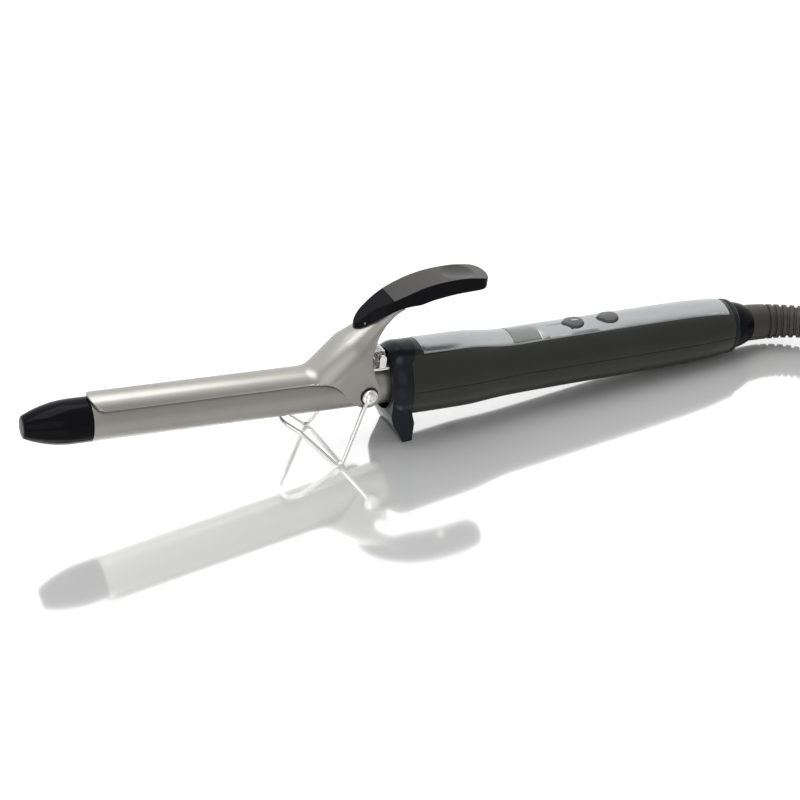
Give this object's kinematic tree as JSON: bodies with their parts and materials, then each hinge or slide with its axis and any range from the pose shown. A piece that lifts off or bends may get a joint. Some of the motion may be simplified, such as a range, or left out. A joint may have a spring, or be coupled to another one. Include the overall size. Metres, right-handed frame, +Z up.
{
  "type": "curling iron",
  "caption": "Electric hair curling iron with a sprung barrel clamp, a folding wire stand, a round handle with a button strip, a swivel cord exit, and a mains cord put away as a tied hank",
  "frame": {"origin": "on the surface the iron rests on, under the middle of the iron without its cord", "axes": "+X runs from the barrel's cool tip to the cord, +Y is across the iron away from the picture's camera, +Z is up; the iron leans so that its barrel rises towards the tip"},
  "size_m": [0.564, 0.0789, 0.0724],
  "materials": {
    "gloss_black": "moulded, glossy",
    "titanium_coat": "satin titanium-grey ceramic coat on aluminium",
    "spreader_aluminium": "extruded, bare",
    "film": "amber insulating film",
    "ceramic": "white heater ceramic",
    "sensor_body": "sealed bead",
    "wire_sleeve": "braided sleeve",
    "bush_plastic": "heat-resistant moulding",
    "bright_wire": "bright plated steel",
    "bracket_steel": "pressed steel",
    "collar_plastic": "satin black moulding",
    "handle_plastic": "charcoal soft satin",
    "panel_silver": "bright satin silver",
    "window_tint": "tinted",
    "button_grey": "satin grey",
    "board_green": "solder mask",
    "part_black": "moulded component",
    "lamp": "diffused lens",
    "contact_brass": "bare",
    "cord_black": "matt flexible jacket",
    "plug_black": "moulded",
    "pin_metal": "nickel-plated"
  },
  "bodies": {
    "handle": {"tip_cap": "gloss_black", "barrel_tube": "titanium_coat", "heat_spreaders": "spreader_aluminium", "pivot_washers": "spreader_aluminium", "heater_insulation": "film", "ceramic_heater": "ceramic", "temperature_sensor": "sensor_body", "thermal_fuse": "sensor_body", "heater_leads": "wire_sleeve", "supply_leads": "wire_sleeve", "pivot_bushes": "bush_plastic", "barrel_bush": "bush_plastic", "swivel_socket": "bush_plastic", "pivot_screws": "bright_wire", "clamp_spring": "bright_wire", "spring_pin": "bright_wire", "handle_screws": "bright_wire", "spring_bracket": "bracket_steel", "collar": "collar_plastic", "tail_ring": "collar_plastic", "handle_lower_shell": "handle_plastic", "handle_upper_shell": "handle_plastic", "control_panel": "panel_silver", "display_window": "window_tint", "circuit_board": "board_green", "tact_switches": "part_black", "triac": "part_black", "capacitor": "part_black", "display_leds": "lamp", "contact_springs": "contact_brass"},
    "clamp_arm": {"clamp": "titanium_coat", "thumb_grip": "gloss_black", "grip_rivet": "bright_wire"},
    "stand": {"wire_stand": "bright_wire"},
    "power_key": {"power_button": "button_grey"},
    "heat_key": {"heat_button": "button_grey"},
    "cord_end_swivel": {"swivel_cone": "collar_plastic", "slip_rings": "contact_brass", "strain_relief": "cord_black", "cord_lead": "cord_black", "cord_hank": "cord_black", "cord_tie": "cord_black", "cord_end": "cord_black", "plug_body": "plug_black", "plug_pins": "pin_metal", "pin_sleeves": "plug_black"}
  },
  "joints": [
    {"name": "clamp_open", "type": "hinge", "parent": "handle", "child": "clamp_arm", "pos_m": [-0.02441, 0, 0.02696], "axis": [0, 1, 0], "range_deg": [0, 22], "stiffness_Nm_per_rad": 0.6, "springref_deg": -14.32, "deforming": ["clamp_spring"]},
    {"name": "stand_swing", "type": "hinge", "parent": "handle", "child": "stand", "pos_m": [-0.02441, 0, 0.02696], "axis": [0, 1, 0], "range_deg": [-60, 0]},
    {"name": "power_press", "type": "slide", "parent": "handle", "child": "power_key", "axis": [-0.1086, 0, -0.9941], "range_m": [0, 0.0006], "stiffness_N_per_m": 1500, "springref_m": -0.0004},
    {"name": "heat_press", "type": "slide", "parent": "handle", "child": "heat_key", "axis": [-0.1086, 0, -0.9941], "range_m": [0, 0.0006], "stiffness_N_per_m": 1500, "springref_m": -0.0004},
    {"name": "cord_swivel", "type": "hinge", "parent": "handle", "child": "cord_end_swivel", "pos_m": [0.16314, 0, 0.0126], "axis": [0.9941, 0, -0.1086], "continuous": true}
  ]
}
